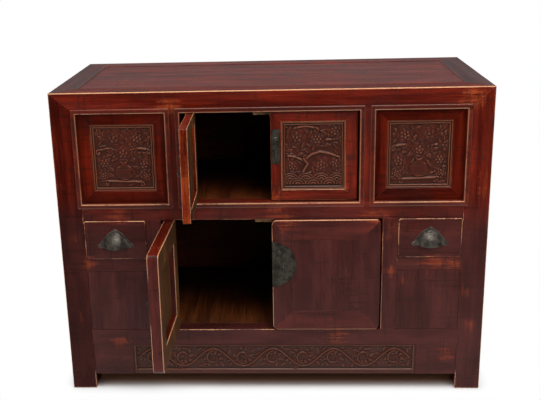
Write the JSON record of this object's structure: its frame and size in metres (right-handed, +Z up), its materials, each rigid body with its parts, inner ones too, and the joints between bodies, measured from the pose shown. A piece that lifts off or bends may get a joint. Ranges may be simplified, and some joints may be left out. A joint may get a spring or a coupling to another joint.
{
  "type": "kang cabinet",
  "caption": "Low lacquered wooden cabinet with carved upper doors and side panels, plain lower doors, small drawers beside them, a carved apron, and iron plates and cup pulls.",
  "frame": {"origin": "on the floor, at the middle of the width and of the depth of the carcass, between the four feet", "axes": "+X along the front to the right, +Y to the back, +Z up"},
  "size_m": [1.06, 0.7235, 0.79],
  "materials": {
    "red_lacquer": "old red lacquer, rubbed pale at the arrises",
    "dark_lacquer": "dark purple-brown lacquer",
    "worn_lacquer": "glossy dark red-brown lacquer over a streaky grain",
    "carved_lacquer": "red-brown lacquer, darker in the hollows of the carving",
    "bare_wood": "unfinished brown wood",
    "iron": "dark grey-green aged iron"
  },
  "bodies": {
    "root": {"apron": "carved_lacquer", "apron_blocks": "dark_lacquer", "back_boards": "bare_wood", "back_muntins": "bare_wood", "back_rails": "bare_wood", "bottom_boards": "bare_wood", "bottom_rail": "red_lacquer", "drawer_rails": "red_lacquer", "drawer_runners": "bare_wood", "fixed_frame_rails": "red_lacquer", "fixed_frame_stiles": "red_lacquer", "fixed_panels": "carved_lacquer", "lower_panels": "dark_lacquer", "lower_stiles": "red_lacquer", "mid_rail": "red_lacquer", "post_back_left": "worn_lacquer", "post_back_right": "worn_lacquer", "post_front_left": "red_lacquer", "post_front_right": "red_lacquer", "shelf_boards": "bare_wood", "side_panels": "worn_lacquer", "side_rails": "worn_lacquer", "stop_blocks": "bare_wood", "top_battens": "bare_wood", "top_boards": "worn_lacquer", "top_rail_back": "worn_lacquer", "top_rail_front": "red_lacquer", "top_rail_left": "worn_lacquer", "top_rail_right": "worn_lacquer", "upper_stiles": "red_lacquer"},
    "left_drawer": {"left_drawer_back": "bare_wood", "left_drawer_bottom": "bare_wood", "left_drawer_front": "dark_lacquer", "left_drawer_pull": "iron", "left_drawer_sides": "bare_wood"},
    "lower_left_door": {"lower_left_door_hinge_stile": "dark_lacquer", "lower_left_door_lock_stile": "dark_lacquer", "lower_left_door_panel": "dark_lacquer", "lower_left_door_plate": "iron", "lower_left_door_rails": "dark_lacquer"},
    "lower_right_door": {"lower_right_door_hinge_stile": "dark_lacquer", "lower_right_door_lock_stile": "dark_lacquer", "lower_right_door_panel": "dark_lacquer", "lower_right_door_plate": "iron", "lower_right_door_rails": "dark_lacquer"},
    "right_drawer": {"right_drawer_back": "bare_wood", "right_drawer_bottom": "bare_wood", "right_drawer_front": "dark_lacquer", "right_drawer_pull": "iron", "right_drawer_sides": "bare_wood"},
    "upper_left_door": {"upper_left_door_hinge_stile": "red_lacquer", "upper_left_door_lock_stile": "red_lacquer", "upper_left_door_panel": "carved_lacquer", "upper_left_door_plate": "iron", "upper_left_door_rails": "red_lacquer"},
    "upper_right_door": {"upper_right_door_hinge_stile": "red_lacquer", "upper_right_door_lock_stile": "red_lacquer", "upper_right_door_panel": "carved_lacquer", "upper_right_door_plate": "iron", "upper_right_door_rails": "red_lacquer"}
  },
  "joints": [
    {"name": "upper_left_door_hinge", "type": "hinge", "parent": "root", "child": "upper_left_door", "pos_m": [-0.1905, -0.2166, 0.62], "axis": [0, 0, -1], "range_deg": [-89.4, 22.6]},
    {"name": "upper_right_door_hinge", "type": "hinge", "parent": "root", "child": "upper_right_door", "pos_m": [0.1905, -0.2166, 0.62], "axis": [0, 0, 1], "range_deg": [0, 112]},
    {"name": "lower_left_door_hinge", "type": "hinge", "parent": "root", "child": "lower_left_door", "pos_m": [-0.253, -0.23175, 0.32], "axis": [0, 0, -1], "range_deg": [-91.7, 5.3]},
    {"name": "lower_right_door_hinge", "type": "hinge", "parent": "root", "child": "lower_right_door", "pos_m": [0.253, -0.23175, 0.32], "axis": [0, 0, 1], "range_deg": [0, 97]},
    {"name": "left_drawer_slide", "type": "slide", "parent": "root", "child": "left_drawer", "axis": [0, -1, 0], "range_m": [0, 0.25]},
    {"name": "right_drawer_slide", "type": "slide", "parent": "root", "child": "right_drawer", "axis": [0, -1, 0], "range_m": [0, 0.25]}
  ]
}
